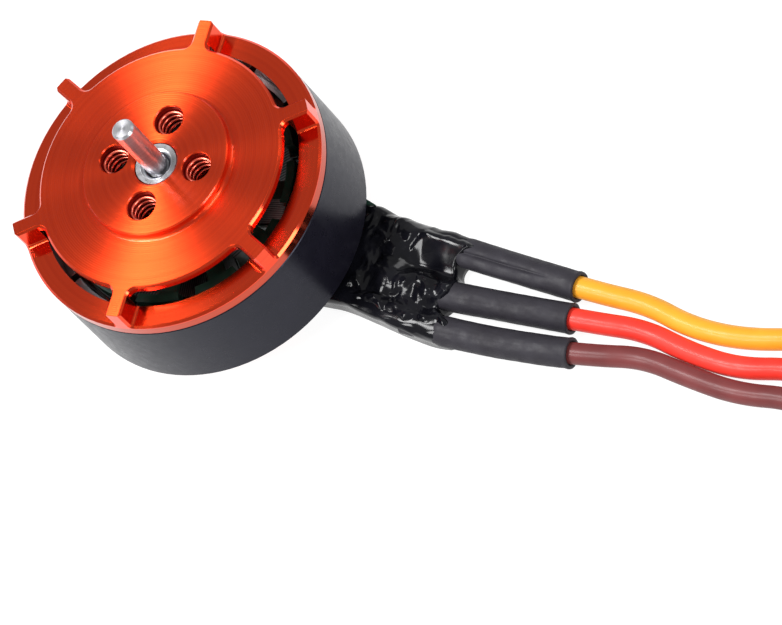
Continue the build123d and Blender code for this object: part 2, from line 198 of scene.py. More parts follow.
def lead_plastic(name, dark, light):
    """A lead's soft insulation, with a slight sheen."""
    made = Shader(name, light, 0.48, 0.0, Specular_IOR_Level=0.22, Coat_Weight=0.10, Coat_Roughness=0.16)
    made.vary("Base Color", made.noise(260.0, 3.0), dark, light)
    made.vary("Roughness", made.noise(900.0, 3.0), 0.42, 0.54)
    made.bump(made.noise(1300.0, 3.0), 0.00002)
    return made.material


bush_radius = 2.05 * UNIT
# Painted light on the bush by radius: a painted highlight ring, then the bush's own grey, then painted shade in the
# gap at its edge.
bush_painted_light_steps = (  # share of the bush's radius, and its brightness
    (0.67, 0.75), (0.71, 0.75), (0.74, 0.40), (0.93, 0.46), (0.945, 0.02),
)
lamination_pitch = 0.35 * UNIT


def build_materials():
    made = {
        # The bell is painted with shade below 12.6 mm, on its lip and inside; the base is painted with shade below
        # 0.4 mm.
        "anodised_aluminium": anodised("anodised_aluminium", 15.1 * UNIT, 12.6 * UNIT),
        "base_aluminium": anodised("base_aluminium", 2.4 * UNIT, 0.4 * UNIT),
        "lead_yellow": lead_plastic("lead_yellow", (0.70, 0.30, 0.017), (0.79, 0.35, 0.025)),
        "lead_red": lead_plastic("lead_red", (0.72, 0.030, 0.019), (0.82, 0.042, 0.028)),
        "lead_brown": lead_plastic("lead_brown", (0.130, 0.027, 0.027), (0.170, 0.037, 0.037)),
    }

    # Painted highlight: the thread crests use a brighter, pinker copy of the anodised aluminium's colour.
    thread_highlight = Shader("thread_painted_highlight", (0.90, 0.16, 0.10), 0.3, 1.0, Coat_Weight=0.5, Coat_Roughness=0.12)
    thread_highlight.vary("Base Color", thread_highlight.noise(2500.0), (0.82, 0.12, 0.07), (0.95, 0.20, 0.13))
    made["thread_painted_highlight"] = thread_highlight.material

    # Painted shade: the hole's wall behind the thread ridges uses a much darker copy of the anodised aluminium's
    # colour.
    groove_shade = Shader("thread_painted_shade", (0.20, 0.008, 0.004), 0.5, 0.6, Specular_IOR_Level=0.2)
    groove_shade.vary("Base Color", groove_shade.noise(2500.0), (0.15, 0.005, 0.003), (0.24, 0.010, 0.005))
    groove_shade.bump(groove_shade.noise(6000.0), 0.000002)
    made["thread_painted_shade"] = groove_shade.material

    can = Shader(
        "black_steel", (0.006, 0.006, 0.011), 0.3, 0.0,
        Specular_IOR_Level=0.21, Specular_Tint=(0.72, 0.76, 1.0, 1.0),
    )
    can.vary("Base Color", can.noise(420.0, 4.0), (0.0058, 0.0054, 0.0098), (0.0076, 0.007, 0.0124))
    can.vary("Roughness", can.noise(1500.0, 4.0), 0.27, 0.34)
    can.bump(can.noise(7000.0, 2.0), 0.000004)
    made["black_steel"] = can.material

    shaft = Shader("ground_steel", (0.5, 0.5, 0.52), 0.34, 1.0, Anisotropic=0.5, Anisotropic_Rotation=0.25)
    shaft.turned()
    shaft.vary("Base Color", shaft.noise(5000.0, 2.0, shaft.rings()), (0.44, 0.44, 0.47), (0.54, 0.54, 0.56))
    shaft.bump(shaft.noise(12000.0, 2.0, shaft.rings()), 0.0000015)
    made["ground_steel"] = shaft.material

    # The bush's colour by radius is mostly painted light: a painted shadow round the shaft, a painted highlight ring
    # and painted shade in the gap at its edge.
    bush = Shader("bush_steel", (0.4, 0.41, 0.44), 0.3, 1.0)
    steps = bush.node("ValToRGB")
    bush.link(bush.math("DIVIDE", bush.from_axis(), bush_radius), steps.inputs[0])
    stops = steps.color_ramp.elements
    # Painted shadow round the shaft, lightening outwards.
    stops[0].position, stops[0].color = 0.50, (0.10, 0.10, 0.12, 1.0)
    stops[1].position, stops[1].color = 0.62, (0.26, 0.27, 0.30, 1.0)
    for position, shade in bush_painted_light_steps:
        stop = stops.new(position)
        stop.color = (shade, shade, 1.04 * shade, 1.0)
    bush.link(steps.outputs[0], bush.bsdf.inputs["Base Color"])
    bush.vary("Roughness", bush.noise(2500.0), 0.26, 0.36)
    bush.bump(bush.noise(9000.0, 2.0), 0.0000002)
    made["bush_steel"] = bush.material

    for name, colour, roughness, metallic, scale, height in (
        ("bearing_steel", (0.60, 0.61, 0.62), 0.24, 1.0, 4000.0, 0.0000003),
        ("cage_brass", (0.62, 0.43, 0.16), 0.30, 1.0, 3000.0, 0.000003),
        ("spring_steel", (0.36, 0.37, 0.40), 0.32, 1.0, 3500.0, 0.000003),
        ("plated_magnet", (0.20, 0.20, 0.21), 0.34, 1.0, 2500.0, 0.000006),
        ("solder", (0.55, 0.55, 0.56), 0.38, 1.0, 1500.0, 0.00002),
        ("gold_plate", (0.86, 0.60, 0.24), 0.22, 1.0, 2500.0, 0.000003),
        ("copper_wire", (0.24, 0.055, 0.02), 0.26, 0.85, 2500.0, 0.000004),
    ):
        shade = Shader(name, colour, roughness, metallic)
        dark = tuple(0.86 * c for c in colour)
        shade.vary("Base Color", shade.noise(scale / 4, 3.0), dark, colour)
        shade.vary("Roughness", shade.noise(scale / 2, 3.0), roughness * 0.85, roughness * 1.2)
        shade.bump(shade.noise(scale, 3.0), height)
        made[name] = shade.material

    stack = Shader("lamination_steel", (0.05, 0.05, 0.05), 0.5, 1.0)
    height = stack.split()[2]
    layers = stack.math("SINE", stack.math("MULTIPLY", height, 2 * math.pi / lamination_pitch))
    stack.vary("Base Color", layers, (0.02, 0.02, 0.02), (0.07, 0.07, 0.07), -0.9, -0.2)
    stack.bump(layers, 0.00001)
    made["lamination_steel"] = stack.material

    green = Shader("insulator_green", (0.004, 0.030, 0.018), 0.45, 0.0)
    green.vary("Base Color", green.noise(600.0), (0.002, 0.015, 0.009), (0.0035, 0.028, 0.017))
    green.vary("Roughness", green.noise(1800.0), 0.35, 0.5)
    green.bump(green.noise(3500.0), 0.00001)
    made["insulator_green"] = green.material

    film = Shader("glue_black", (0.004, 0.004, 0.005), 0.10, 0.0, IOR=1.3, Specular_IOR_Level=0.6)
    film.vary("Base Color", film.noise(350.0, 3.0), (0.002, 0.002, 0.003), (0.006, 0.006, 0.009))
    film.vary("Roughness", film.noise(500.0, 2.0), 0.10, 0.22)
    film.bump(film.noise(600.0, 1.0), 0.00003)
    made["glue_black"] = film.material

    shrink = Shader("shrink_black", (0.020, 0.018, 0.025), 0.6, 0.0, Specular_IOR_Level=0.28)
    shrink.vary("Base Color", shrink.noise(500.0, 3.0), (0.0185, 0.0165, 0.022), (0.0255, 0.0235, 0.0305))
    shrink.vary("Roughness", shrink.noise(900.0, 4.0), 0.5, 0.7)
    shrink.bump(shrink.noise(2600.0, 4.0), 0.00002)
    made["shrink_black"] = shrink.material
    return made


materials = build_materials()


def finish_piece(piece, body, slot, material=None, smooth=True):
    """Gives a new piece its material, named by slot unless another material is named, and the body that it rides on.
    """
    piece.data.materials.clear()
    piece.data.materials.append(materials[material or slot])
    if smooth and piece.type == "MESH":
        piece.data.shade_smooth()
    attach(piece, body)
    return piece


def mesh_piece(name, points, faces):
    """A new mesh object, linked to the scene."""
    data = bpy.data.meshes.new(name)
    data.from_pydata([tuple(p) for p in points], [], [tuple(f) for f in faces])
    data.update()
    piece = bpy.data.objects.new(name, data)
    bpy.context.scene.collection.objects.link(piece)
    return piece


# ================= cords =================

lead_radius = 0.95 * UNIT
lead_routes = {
    "yellow": (
        (32.6, 3.075, 1.32), (36.6, 2.885, 1.32), (41.2, 3.05, 0.96), (45.6, 1.95, 0.96),
        (50.4, 1.95, 0.96), (55.4, 3.05, 0.96), (61.6, 4.9, 0.96), (69.0, 5.7, 0.96),
        (77.4, 6.1, 1.2), (85.4, 7.3, 1.9), (92.8, 8.2, 1.9),
    ),
    "red": (
        (33.2, 0.017, 1.32), (37.2, 0.223, 1.32), (41.8, 0.76, 0.96), (46.4, -0.25, 0.96),
        (51.3, -0.62, 0.96), (56.2, 0.55, 0.96), (62.4, 0.95, 0.96), (69.8, 0.10, 0.96),
        (78.0, -0.15, 1.2), (85.8, 0.35, 1.9), (93.0, 0.35, 1.9),
    ),
    "brown": (
        (34.4, -3.086, 1.32), (38.4, -2.594, 1.32), (42.7, -1.57, 0.96), (47.4, -2.30, 0.96),
        (52.3, -2.74, 0.96), (57.2, -1.96, 0.96), (63.4, -2.9, 0.96), (70.6, -5.1, 0.96),
        (78.4, -6.4, 1.2), (86.2, -6.9, 1.9), (93.4, -7.8, 1.9),
    ),
}
sleeve_routes = {
    "yellow": ((19.2, 3.98, 1.32), (27.0, 3.34, 1.32), (34.6, 2.98, 1.32)),
    "red": ((19.6, -0.65, 1.32), (27.4, -0.28, 1.32), (35.2, 0.12, 1.32)),
    "brown": ((20.0, -3.60, 1.32), (28.6, -3.80, 1.32), (36.4, -2.84, 1.32)),
}


def spline_curve(name, route):
    """A NURBS curve with the route's points, given in drawn millimetres, as its control points."""
    data = bpy.data.curves.new(name, "CURVE")
    data.dimensions = "3D"
    data.resolution_u = 16
    spline = data.splines.new("NURBS")
    spline.points.add(len(route) - 1)
    for point, place in zip(spline.points, route):
        point.co = (*(Vector(place) * UNIT), 1.0)
    spline.order_u = 3
    spline.use_endpoint_u = True
    return bpy.data.objects.new(name, data)


def line_of(route):
    """The points down the middle of a route's spline."""
    bare = spline_curve("bare_line", route)
    data = bpy.data.meshes.new_from_object(bare)
    line = [v.co.copy() for v in data.vertices]
    bpy.data.meshes.remove(data)
    bpy.data.objects.remove(bare)
    return line


def frames_along(line):
    """A direction and two crosswise vectors at each point, turning as little as they can."""
    headings = [(b - a).normalized() for a, b in zip(line, line[1:])]
    headings = [headings[0]] + [(a + b).normalized() for a, b in zip(headings, headings[1:])] + [headings[-1]]
    side = headings[0].cross(Vector((0, 0, 1))).normalized()
    found = []
    for heading in headings:
        side = (side - heading * side.dot(heading)).normalized()
        found.append((heading, side, side.cross(heading)))
    return found


class Line:
    """A line through points, that gives the place and crosswise directions at a distance along it."""

    def __init__(self, points):
        self.points = points
        self.frames = frames_along(points)
        self.far = [0.0]
        for a, b in zip(points, points[1:]):
            self.far.append(self.far[-1] + (b - a).length)
        self.length = self.far[-1]

    def at(self, distance):
        i = max(1, min(len(self.far) - 1, int(np.searchsorted(self.far, distance))))
        share = (distance - self.far[i - 1]) / (self.far[i] - self.far[i - 1])
        place = self.points[i - 1].lerp(self.points[i], share)
        share = clamp(share)
        (_, side_a, up_a), (_, side_b, up_b) = self.frames[i - 1], self.frames[i]
        return place, side_a.lerp(side_b, share).normalized(), up_a.lerp(up_b, share).normalized()


def grid_faces(rows, columns, first=0, flip=False):
    """Quads between rows of points that each close on themselves."""
    faces = []
    for i in range(rows - 1):
        for k in range(columns):
            a, b = first + i * columns + k, first + i * columns + (k + 1) % columns
            face = (a, b, b + columns, a + columns)
            faces.append(face[::-1] if flip else face)
    return faces


def swept(line, rows, segments=32, radius=None):
    """Points and faces of a round skin with flat ends.

    rows are (distance, radius), and radius(distance, angle) is added to each.
    """
    points = []
    for distance, size in rows:
        place, side, up = line.at(distance)
        for k in range(segments):
            angle = 2 * math.pi * k / segments
            reach = size + (radius(distance, angle) if radius else 0.0)
            points.append(place + (side * math.cos(angle) + up * math.sin(angle)) * reach)
    faces = grid_faces(len(rows), segments)
    faces.append(tuple(range(segments))[::-1])
    faces.append(tuple((len(rows) - 1) * segments + k for k in range(segments)))
    return points, faces


def joined(parts):
    """Several lists of points and faces as one."""
    points, faces = [], []
    for more_points, more_faces in parts:
        faces += [tuple(i + len(points) for i in face) for face in more_faces]
        points += list(more_points)
    return points, faces


def crinkle(place, size, seed):
    """Noise with sharp ridges that rise to 1. size is that of its features, in the place's own units."""
    p = place / size + Vector((seed, 2.7 * seed, -1.3 * seed))
    return 1.0 - 3.2 * abs(noise.noise(p))


def drift(place, seed):
    """A smooth vector noise, the same in every run."""
    shifts = [Vector((seed + 3.3 * k, 1.7 * seed - 5.1 * k, 0.6 * seed + 7.9 * k)) for k in range(3)]
    return Vector([noise.noise(place + shift) for shift in shifts])


cup_length = 4.6 * UNIT
slot_length, slot_depth, slot_half_angle = 5.2 * UNIT, 0.30 * UNIT, 0.20
bullet_profile = (  # distance along and radius, in drawn millimetres
    (0.0, 0.05), (0.0, 1.0), (0.02, 1.22), (0.12, 1.3), (4.45, 1.3), (4.58, 1.26), (4.6, 1.12),
    (4.62, 0.84), (5.3, 0.82), (5.5, 0.84), (5.9, 0.90), (6.4, 0.96), (7.0, 0.995), (7.7, 1.0),
    (8.4, 0.99), (9.0, 0.955), (9.6, 0.90), (10.1, 0.84), (10.5, 0.78), (10.8, 0.72), (11.1, 0.62),
    (11.3, 0.48), (11.38, 0.25), (11.4, 0.05),
)
boot_grip = 3.4 * UNIT  # the boot's length on the lead
boot_stop = 4.3 * UNIT  # the boot's length on the bullet
boot_length = boot_grip + boot_stop
boot_rings = 60


def connector_pieces(colour):
    """A slotted spring bullet on the lead's end, under its own shrink boot."""
    before, last = (Vector(p) * UNIT for p in lead_routes[colour][-2:])
    heading = (last - before).normalized()
    line = Line([last - heading * boot_grip, last + heading * 12 * UNIT])
    seed = {"yellow": 1.0, "red": 2.0, "brown": 3.0}[colour]

    def slots(distance, angle):
        """The four slots' depth, easing in at both ends."""
        along = distance - boot_grip - cup_length - 0.9 * UNIT
        if not 0 < along < slot_length:
            return 0.0
        near = abs((angle / (math.pi / 2) + 0.5) % 1 - 0.5) * math.pi / 2
        ease = min(1.0, along / (0.3 * UNIT), (slot_length - along) / (0.5 * UNIT))
        return -slot_depth * ease * clamp((slot_half_angle - near) / 0.06)

    rows = [(boot_grip + far * UNIT, size * UNIT) for far, size in bullet_profile]
    bullet = mesh_piece(f"{colour}_spring_bullet", *swept(line, rows, 96, slots))
    finish_piece(bullet, "stator", "gold_plate")
    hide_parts(f"{colour}_bullet")

    def creases(distance, angle):
        """Slight folds, none of them at the boot's ends."""
        share = distance / boot_length
        fold = noise.noise(Vector((share * 6 + seed, 1.5 * math.cos(angle), 1.5 * math.sin(angle))))
        return 0.05 * UNIT * fold * math.sin(math.pi * min(1.0, share)) ** 0.5

    rows = [(0.02 * UNIT, 0.96 * UNIT), (0.0, 1.16 * UNIT), (0.05 * UNIT, 1.26 * UNIT)]
    for k in range(boot_rings):
        far = 0.1 * UNIT + (boot_length - 0.3 * UNIT) * k / (boot_rings - 1)
        rise = clamp((far - 0.3 * UNIT) / (2.4 * UNIT))
        rise = rise * rise * (3 - 2 * rise)
        fall = clamp((far - boot_length + 1.2 * UNIT) / (1.2 * UNIT))
        rows.append((far, (1.28 + 0.54 * rise - 0.10 * fall) * UNIT))
    rolled_end = ((0.1, 1.66), (0.02, 1.56), (0.0, 1.44), (0.04, 1.33))
    rows += [(boot_length - back * UNIT, size * UNIT) for back, size in rolled_end]
    boot = mesh_piece(f"{colour}_shrink_boot", *swept(line, rows, 40, creases))
    finish_piece(boot, "stator", "shrink_black")
    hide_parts(f"{colour}_bullet_boot")
    return boot, bullet


for colour, route in lead_routes.items():
    lead = spline_curve(f"{colour}_lead_wire", route)
    lead.data.bevel_depth = lead_radius
    lead.data.bevel_resolution = 8
    lead.data.use_fill_caps = True
    bpy.context.scene.collection.objects.link(lead)
    finish_piece(lead, "stator", f"lead_{colour}")
    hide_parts(f"{colour}_lead")
    connector_pieces(colour)

# ================= soft black parts =================

sleeve_radius = 1.3 * UNIT
sleeve_bore = 1.0 * UNIT
sleeve_lip = 0.5 * UNIT
sleeve_floor = 0.01 * UNIT  # the height that the sleeves' undersides lie flat at
sleeve_rings, sleeve_sides = 90, 96
sleeve_shapes = {  # seed, height and angle of the long fold, and where the neck ends in drawn millimetres
    "yellow": (3.0, 0.30 * UNIT, 0.40, 4.1),
    "red": (11.0, 0.03 * UNIT, 0.3, 3.2),
    "brown": (23.0, 0.05 * UNIT, 0.3, 4.0),
}


def sleeve_piece(colour):
    """Shrunk tube with a long fold, crumples near its neck, and a cut end that stands open."""
    line = Line(line_of(sleeve_routes[colour]))
    seed, ridge, ridge_angle, neck_end = sleeve_shapes[colour]

    def folds(distance, angle):
        """Height of the soft folds, the long fold and the crumples, with almost none underneath."""
        share = distance / line.length
        fold = noise.noise(Vector((share * 4.0 + seed, 1.4 * math.cos(angle), 1.4 * math.sin(angle))))
        fine = noise.noise(Vector((share * 26.0 + seed, 5 * math.cos(angle), 5 * math.sin(angle))))
        turn = (angle - ridge_angle - 0.25 * share + math.pi) % (2 * math.pi) - math.pi
        along = math.sin(math.pi * clamp((share - 0.06) / 0.78)) ** 0.6
        lobe = math.exp(-((turn / 0.55) ** 2)) - 1.2 * math.exp(-abs(turn - 0.72) / 0.10)
        crumple = max(0.0, 1 - share * 3.5)
        sharp = crinkle(Vector((share * 15, math.cos(angle) * 1.3, math.sin(angle) * 1.3)), 1.0, seed)
        reach = (0.045 * fold + 0.014 * fine + 0.09 * crumple * sharp) * UNIT + ridge * along * lobe
        underneath = math.sin(angle) < -0.5
        return min(reach, 0.01 * UNIT) if underneath else reach

    body = line.length - sleeve_lip

    def shaped(distance, angle):
        """The folds, drawn in where the neck grips the splice."""
        necked = clamp((neck_end * UNIT - distance) / (1.1 * UNIT))
        return folds(min(distance, body), angle) * (1 - 0.8 * necked) - 0.22 * UNIT * necked

    outside = [(0.0, 0.8 * UNIT), (0.0, sleeve_radius)]
    outside += [(body * (k + 1) / sleeve_rings, sleeve_radius) for k in range(sleeve_rings)]
    outside += [
        (line.length - 0.32 * UNIT, sleeve_radius + 0.03 * UNIT),
        (line.length - 0.14 * UNIT, sleeve_radius + 0.055 * UNIT),
        (line.length - 0.03 * UNIT, sleeve_radius + 0.03 * UNIT),
        (line.length, sleeve_radius - 0.06 * UNIT),
    ]
    inside = [
        (line.length - 0.02 * UNIT, sleeve_bore + 0.08 * UNIT),
        (line.length - 0.15 * UNIT, sleeve_bore),
        (line.length - 1.2 * UNIT, sleeve_bore - 0.02 * UNIT),
    ]
    points, faces = swept(line, outside, sleeve_sides, shaped)
    faces.pop()  # the outside runs on into the bore in place of its flat end
    points += swept(line, inside, sleeve_sides)[0]
    faces += grid_faces(len(inside) + 1, sleeve_sides, (len(outside) - 1) * sleeve_sides)
    faces.append(tuple(len(points) - sleeve_sides + k for k in range(sleeve_sides)))
    points = [Vector((p.x, p.y, max(p.z, sleeve_floor))) for p in points]
    piece = mesh_piece(f"{colour}_shrink_sleeve", points, faces)
    finish_piece(piece, "stator", "shrink_black")
    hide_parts(f"{colour}_sleeve")
    return line


sleeve_lines = {colour: sleeve_piece(colour) for colour in sleeve_routes}

# The film's edges and end, as (out, across) and (across, out) in drawn millimetres.
wrap_start = 9.6
wrap_floor = 0.12
wrap_upper_edge = (
    (wrap_start, 5.6), (10.8, 5.95), (12.0, 6.15), (13.4, 5.95), (15.5, 5.6), (18.9, 5.42), (22.1, 5.0), (24.8, 4.72),
)
wrap_lower_edge = (
    (wrap_start, -3.8), (12.0, -3.65), (13.4, -3.6), (14.4, -3.68), (17.0, -4.05), (20.5, -4.6), (23.5, -4.85),
    (25.8, -4.6), (26.5, -4.55),
)
wrap_end = (
    (-5.3, 24.6), (-4.4, 25.5), (-3.5, 25.3), (-2.6, 24.9), (-1.9, 23.0), (-1.4, 23.3), (-0.5, 24.0), (0.6, 23.9),
    (1.2, 23.2), (1.9, 23.1), (2.8, 23.7), (3.7, 24.6), (4.6, 24.9), (5.1, 24.4),
)
wrap_rows, wrap_columns = 190, 150
notch_out = 8.4  # how far out the tails leave the base
notch_squeeze = 0.62  # their spread there, as a share of their spread at the sleeves


def hump(value, centre, width, power=2):
    """1 at a centre, and falling smoothly to nothing beyond about its width on either side."""
    return math.exp(-(((value - centre) / width) ** power))


def smooth_table(table, x):
    """A smooth value at x from a table of (x, value), by a cubic through its points."""
    xs, ys = [p[0] for p in table], [p[1] for p in table]
    x = max(xs[0], min(xs[-1], x))
    i = max(1, min(len(xs) - 1, int(np.searchsorted(xs, x))))
    slopes = np.gradient(ys, xs)
    h = xs[i] - xs[i - 1]
    t = (x - xs[i - 1]) / h
    return (
        (2 * t**3 - 3 * t**2 + 1) * ys[i - 1]
        + (t**3 - 2 * t**2 + t) * h * slopes[i - 1]
        + (3 * t**2 - 2 * t**3) * ys[i]
        + (t**3 - t**2) * h * slopes[i]
    )


def sleeve_side(colour, x):
    """Where a sleeve or its tail runs across the wrap at a distance x out, all in drawn millimetres."""
    first_x, first_y, _ = sleeve_routes[colour][0]
    if x >= first_x:
        line = sleeve_lines[colour]
        return line.at(min(line.length, (x - first_x) * UNIT))[0].y / UNIT
    share = max(0.0, (x - notch_out) / (first_x - notch_out))
    return first_y * (notch_squeeze + (1 - notch_squeeze) * share)


def wrap_height(x, y):
    """The film's top over the tails and sleeves, and the least height that covers them, in drawn millimetres."""
    spread = clamp((x - 12.0) / 10.0)
    crown = 2.62 + 0.26 * clamp((x - 14.4) / 2.5)
    web = 2.42 - 0.62 * spread * spread
    ridge = max(hump(y, sleeve_side(colour, x), 1.15) for colour in sleeve_routes)
    top = web + (crown - web) * ridge
    low, high = smooth_table(wrap_lower_edge, x), smooth_table(wrap_upper_edge, x)
    above = clamp((high - y) / (0.8 + 0.4 * spread))
    below = clamp((y - low) / (0.7 + 1.1 * clamp((x - 13.0) / 4.0)))
    round_side = (1 - (1 - above) ** 2) ** 0.5 * (1 - (1 - below) ** 2) ** 0.5
    cover = 0.0
    for colour in sleeve_routes:
        off = (y - sleeve_side(colour, x)) / 1.22
        if abs(off) < 1:
            cover = max(cover, 1.32 + 1.22 * (1 - off * off) ** 0.5)
    return wrap_floor + (top - wrap_floor) * round_side, min(cover, crown)


def film_wrinkles(place):
    """Height of the film's broad, middling and small wrinkles at a place, in drawn millimetres."""
    bent = place + drift(place / 2.0, 2.3) * 0.9
    patch = clamp(0.5 + 1.6 * noise.noise(place / 2.2 + Vector((3, 8, 1))))
    sharp = 0.12 * crinkle(bent, 2.6, 4.0)
    sharp += 0.06 * crinkle(bent, 1.3, 9.0) * patch + 0.02 * crinkle(bent, 0.7, 17.0) * patch
    soft = noise.noise(bent / 1.5 + Vector((7, 2, 5))) + 0.4 * noise.noise(bent / 0.7 + Vector((1, 9, 4)))
    return sharp + 0.34 * soft - 0.04


def film_height(x, y, edge, calm):
    """The film's height in drawn millimetres. edge falls to 0 at its sides, and calm is 1 where it lies smooth."""
    place = Vector((x, y, 0.0))
    height, cover = wrap_height(x, y)
    height += edge * (1 - calm) * film_wrinkles(place)
    height -= 0.22 * hump(x, 18.3 + 0.5 * (y - 3), 0.35) * hump(y, 3.2, 1.5)  # the long crease
    off = y - sleeve_side("yellow", x)
    sheet = 2.55 + 0.24 * (off + 0.28) - 0.17 * (off + 0.1) ** 2 + 0.05 * noise.noise(place / 1.7)
    height += (sheet - height) * calm * edge
    height += 0.16 * hump(x, 21.9, 1.1) * hump(y, 1.55, 0.42)  # a pucker beside the smooth sheet
    return max(height, cover)


def film_point(along, across):
    """A point of the film's top, and the one below it, at shares of the film's length and width."""
    end = smooth_table(wrap_end, -5.2 + 10.3 * across)
    x = wrap_start + (end - wrap_start) * along
    low, high = smooth_table(wrap_lower_edge, x), smooth_table(wrap_upper_edge, x)
    crowded = 0.5 - 0.5 * math.cos(math.pi * across)  # brings more points to the edges
    y = low + (high - low) * (0.45 * across + 0.55 * crowded)
    edge = min(1.0, 24 * min(across, 1 - across))
    calm = hump(x, 20.9, 2.8, 4) * hump(y, 2.6, 1.5, 4)
    past = max(0.0, along - 0.965) / 0.035  # the film closes down in its last part
    closing = max(0.25, max(0.0, 1 - past**2) ** 0.5)
    top = wrap_floor + max(0.02, (film_height(x, y, edge, calm) - wrap_floor) * closing)
    ceiling = 2.76 + 0.22 * clamp(x - 14.3)  # keeps it clear of the turning can
    slide = drift(Vector((x, y, 0.0)) / 1.6, 8.7) * (0.24 * edge * (1 - calm))
    upper = Vector((x + slide.x * (1 - along**8), y + slide.y, min(top, ceiling)))
    return upper, Vector((x, y, wrap_floor))


def glue_wrap_piece():
    """Black glue and film over the tails' splices, closed by a flat underside."""
    pairs = [
        film_point(i / wrap_rows, j / wrap_columns) for i in range(wrap_rows + 1) for j in range(wrap_columns + 1)
    ]
    upper, lower = [list(side) for side in zip(*pairs)]
    columns = wrap_columns + 1
    faces = []
    for i in range(wrap_rows):
        for j in range(wrap_columns):
            a = i * columns + j
            faces.append((a, a + columns, a + columns + 1, a + 1))
    under = len(upper)
    faces += [tuple(under + k for k in face[::-1]) for face in faces]
    border = [i * columns for i in range(wrap_rows + 1)]
    border += [wrap_rows * columns + j for j in range(1, columns)]
    border += [i * columns + wrap_columns for i in range(wrap_rows - 1, -1, -1)]
    border += list(range(wrap_columns - 1, 0, -1))
    for a, b in zip(border, border[1:] + border[:1]):
        faces.append((a, under + a, under + b, b))
    piece = mesh_piece("glue_film_wrap", [p * UNIT for p in upper + lower], faces)
    finish_piece(piece, "stator", "glue_black")
    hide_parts("glue_wrap")


glue_wrap_piece()

# ================= winding tails =================

strands = 3
strand_radius, twist_radius, twist_pitch = 0.19 * UNIT, 0.225 * UNIT, 2.6 * UNIT


def tail_piece(colour):
    """Three thin enamelled wires twisted together, from the base's notch into the splice."""
    first, second = (Vector(p) for p in sleeve_routes[colour][:2])
    heading = (second - first).normalized()
    bend = first - heading * 4.0
    in_notch = (notch_out, bend.y * notch_squeeze, 2.1)
    in_splice = tuple(first + heading * 1.2)
    line = Line(line_of([in_notch, (bend.x, bend.y * 0.93, bend.z), in_splice]))
    parts = []
    for start in range(strands):
        path = []
        for k in range(81):
            far = line.length * k / 80
            place, side, up = line.at(far)
            angle = 2 * math.pi * (start / strands + far / twist_pitch)
            path.append(place + (side * math.cos(angle) + up * math.sin(angle)) * twist_radius)
        wire = Line(path)
        parts.append(swept(wire, [(wire.length * k / 110, strand_radius) for k in range(111)], 10))
    piece = mesh_piece(f"{colour}_twisted_tail", *joined(parts))
    finish_piece(piece, "stator", "copper_wire")
    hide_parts(f"{colour}_winding_tail")


for colour in sleeve_routes:
    tail_piece(colour)

# A corner of the stator's green insulation shows beside the wrap.
corner_rows, corner_columns = 24, 8
insulation_points, insulation_faces = [], []
for i in range(corner_rows + 1):
    for j in range(corner_columns + 1):
        u, v = i / corner_rows, j / corner_columns
        x = 10.2 + 3.3 * u
        y = 4.9 + 0.6 * u + v * (1.5 - 1.45 * u)
        z = 2.86 - 0.3 * u * u
        insulation_points.append(Vector((x, y, z)) * UNIT)
for i in range(corner_rows):
    for j in range(corner_columns):
        a = i * (corner_columns + 1) + j
        b = a + corner_columns + 1
        insulation_faces.append((a, b, b + 1, a + 1))
insulation = mesh_piece("insulation_corner", insulation_points, insulation_faces)
thick = insulation.modifiers.new("thickness", "SOLIDIFY")
thick.thickness = 0.22 * UNIT
finish_piece(insulation, "stator", "insulator_green")

# ================= threads in the bell's holes =================

thread_pitch = 0.61 * UNIT
ridge_circle = 1.17 * UNIT
ridge_radius = 0.165 * UNIT
thread_root = 1.328 * UNIT
thread_top = 15.76 * UNIT
thread_bottom = 12.75 * UNIT
thread_sides = 48
groove_thickness = 0.004 * UNIT
ridge_inset = 0.25 * UNIT  # keeps the ridge's ends inside the hole
ridge_steps = 40  # in one turn
hole_circle_radius = 4.05 * UNIT
hole_turn = math.radians(7.3)


def thread_grooves(centre):
    """The wall of a tapped hole behind its ridges, which carries the thread's painted shade."""
    points = []
    for radius in (thread_root, thread_root + groove_thickness):
        for z in (thread_bottom, thread_top):
            for k in range(thread_sides):
                angle = 2 * math.pi * k / thread_sides
                points.append(centre + Vector((math.cos(angle) * radius, math.sin(angle) * radius, z)))
    top, outside, outside_top = thread_sides, 2 * thread_sides, 3 * thread_sides
    faces = grid_faces(2, thread_sides, flip=True) + grid_faces(2, thread_sides, outside)
    for k in range(thread_sides):
        j = (k + 1) % thread_sides
        faces.append((k, j, outside + j, outside + k))
        faces.append((top + j, top + k, outside_top + k, outside_top + j))
    return points, faces


def thread_ridge(centre):
    """The rounded crest of a thread as one helix, sunk into the hole's wall and thinning at both ends."""
    turns = (thread_top - thread_bottom - 2 * ridge_inset) / thread_pitch
    steps = int(ridge_steps * turns)
    path = []
    for k in range(steps + 1):
        angle = -0.6 + 2 * math.pi * turns * k / steps
        z = thread_bottom + ridge_inset + turns * thread_pitch * k / steps
        path.append(centre + Vector((math.cos(angle) * ridge_circle, math.sin(angle) * ridge_circle, z)))
    line = Line(path)
    rows = []
    for k in range(steps + 1):
        fade = min(1.0, 0.35 + 0.05 * k, 0.35 + 0.05 * (steps - k))
        rows.append((line.length * k / steps, ridge_radius * fade))
    return swept(line, rows, 12)


hole_centres = [
    Vector((math.cos(a), math.sin(a), 0.0)) * hole_circle_radius
    for a in (hole_turn + k * math.pi / 2 for k in range(4))
]
ridges = mesh_piece("bell_thread_ridges", *joined(thread_ridge(centre) for centre in hole_centres))
# The ridges carry the thread's painted highlight.
finish_piece(ridges, "rotor", "anodised_aluminium", "thread_painted_highlight")
# The wall behind the ridges is painted dark as the shade in the thread's grooves.
grooves = mesh_piece("bell_thread_grooves", *joined(thread_grooves(centre) for centre in hole_centres))
finish_piece(grooves, "rotor", "anodised_aluminium", "thread_painted_shade", smooth=False)

# ================= windings =================

